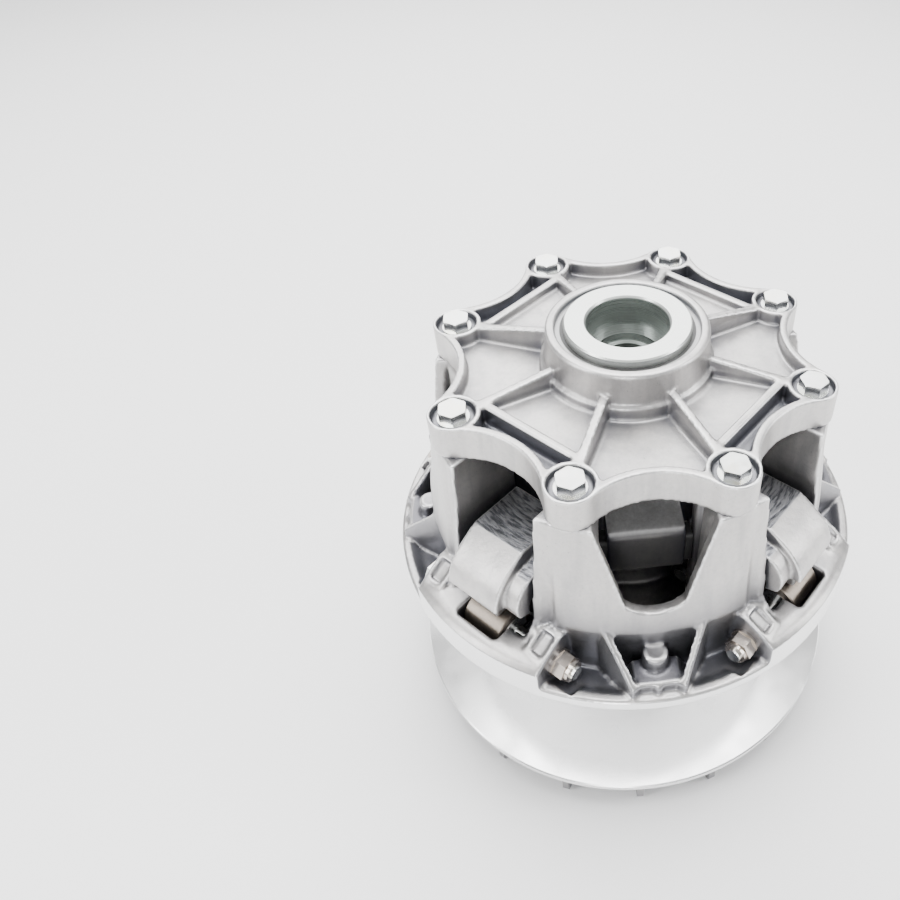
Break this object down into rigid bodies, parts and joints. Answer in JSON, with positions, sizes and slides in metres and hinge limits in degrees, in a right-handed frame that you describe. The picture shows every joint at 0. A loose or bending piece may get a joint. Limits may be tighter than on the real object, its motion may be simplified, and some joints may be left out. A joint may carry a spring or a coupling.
{
  "type": "cvt drive clutch",
  "caption": "Primary drive clutch of a belt CVT: finned fixed sheave and shaft, spring-loaded sliding sheave with towers, swinging flyweights on rollers and a ribbed star cover.",
  "frame": {"origin": "on the shaft axis, in the plane of the fin tips and the hub foot", "axes": "+Z along the shaft from the fixed sheave to the cover; -Y towards the tower between slots 1 and 2"},
  "size_m": [0.21, 0.21, 0.2019],
  "materials": {
    "cast_aluminium": "tumbled satin casting",
    "turned_casting": "fine turned face",
    "post_steel": "machined",
    "ground_steel": "ground",
    "dark_steel": "black oxide",
    "spider_black": "black oxide casting",
    "spring_steel": "shot peened, oiled",
    "shoe_plastic": "filled nylon",
    "bushing_bronze": "sintered bronze",
    "bushing_dark": "lined with dry bearing film",
    "zinc": "bright zinc",
    "nylon": "nylon",
    "weight_cast": "tumbled casting with machined crown",
    "roller_steel": "ground, light oil film"
  },
  "bodies": {
    "post_assembly": {"fixed_sheave": "turned_casting", "clutch_post": "post_steel", "one_way_bearing": "dark_steel", "spider": "spider_black", "slider_shoes": "shoe_plastic", "pivot_pins": "ground_steel", "pivot_clips": "dark_steel", "spider_nut": "dark_steel", "spring_seat": "dark_steel", "primary_spring": "spring_steel", "idler_washer": "ground_steel", "idler_snap_ring": "dark_steel"},
    "sliding_half": {"sliding_sheave": "cast_aluminium", "sheave_bushing": "bushing_bronze", "cover": "cast_aluminium", "cover_bushing": "bushing_dark", "cover_bolts": "zinc", "cover_washers": "zinc", "roller_bolts": "zinc", "lock_nuts": "zinc", "nut_inserts": "nylon", "nut_washers": "zinc", "roller_washers": "ground_steel"},
    "idler": {"idler_sleeve": "ground_steel"},
    "flyweight_1_body": {"flyweight_1": "weight_cast", "flyweight_bush_1": "bushing_bronze"},
    "roller_1_body": {"roller_1": "roller_steel", "roller_bush_1": "bushing_bronze"},
    "flyweight_2_body": {"flyweight_2": "weight_cast", "flyweight_bush_2": "bushing_bronze"},
    "roller_2_body": {"roller_2": "roller_steel", "roller_bush_2": "bushing_bronze"},
    "flyweight_3_body": {"flyweight_3": "weight_cast", "flyweight_bush_3": "bushing_bronze"},
    "roller_3_body": {"roller_3": "roller_steel", "roller_bush_3": "bushing_bronze"},
    "flyweight_4_body": {"flyweight_4": "weight_cast", "flyweight_bush_4": "bushing_bronze"},
    "roller_4_body": {"roller_4": "roller_steel", "roller_bush_4": "bushing_bronze"}
  },
  "joints": [
    {"name": "sheave_slide", "type": "slide", "parent": "post_assembly", "child": "sliding_half", "axis": [0, 0, -1], "range_m": [0, 0.028], "stiffness_N_per_m": 9000, "springref_m": -0.02, "deforming": ["primary_spring"]},
    {"name": "idler_spin", "type": "hinge", "parent": "post_assembly", "child": "idler", "pos_m": [0, 0, 0.055], "axis": [0, 0, 1], "continuous": true},
    {"name": "flyweight_1_swing", "type": "hinge", "parent": "post_assembly", "child": "flyweight_1_body", "pos_m": [-0.03182, -0.03182, 0.0935], "axis": [0.7071, -0.7071, 0], "range_deg": [0, 36.5]},
    {"name": "roller_1_spin", "type": "hinge", "parent": "sliding_half", "child": "roller_1_body", "pos_m": [-0.06152, -0.06152, 0.1015], "axis": [0.7071, -0.7071, 0], "continuous": true},
    {"name": "flyweight_2_swing", "type": "hinge", "parent": "post_assembly", "child": "flyweight_2_body", "pos_m": [0.03182, -0.03182, 0.0935], "axis": [0.7071, 0.7071, 0], "range_deg": [0, 36.5]},
    {"name": "roller_2_spin", "type": "hinge", "parent": "sliding_half", "child": "roller_2_body", "pos_m": [0.06152, -0.06152, 0.1015], "axis": [0.7071, 0.7071, 0], "continuous": true},
    {"name": "flyweight_3_swing", "type": "hinge", "parent": "post_assembly", "child": "flyweight_3_body", "pos_m": [0.03182, 0.03182, 0.0935], "axis": [-0.7071, 0.7071, 0], "range_deg": [0, 36.5]},
    {"name": "roller_3_spin", "type": "hinge", "parent": "sliding_half", "child": "roller_3_body", "pos_m": [0.06152, 0.06152, 0.1015], "axis": [-0.7071, 0.7071, 0], "continuous": true},
    {"name": "flyweight_4_swing", "type": "hinge", "parent": "post_assembly", "child": "flyweight_4_body", "pos_m": [-0.03182, 0.03182, 0.0935], "axis": [-0.7071, -0.7071, 0], "range_deg": [0, 36.5]},
    {"name": "roller_4_spin", "type": "hinge", "parent": "sliding_half", "child": "roller_4_body", "pos_m": [-0.06152, 0.06152, 0.1015], "axis": [-0.7071, -0.7071, 0], "continuous": true}
  ],
  "couplings": [
    {"joint": "flyweight_1_swing", "follows": "sheave_slide", "rad_per_m": 22.5},
    {"joint": "flyweight_2_swing", "follows": "sheave_slide", "rad_per_m": 22.5},
    {"joint": "flyweight_3_swing", "follows": "sheave_slide", "rad_per_m": 22.5},
    {"joint": "flyweight_4_swing", "follows": "sheave_slide", "rad_per_m": 22.5}
  ]
}
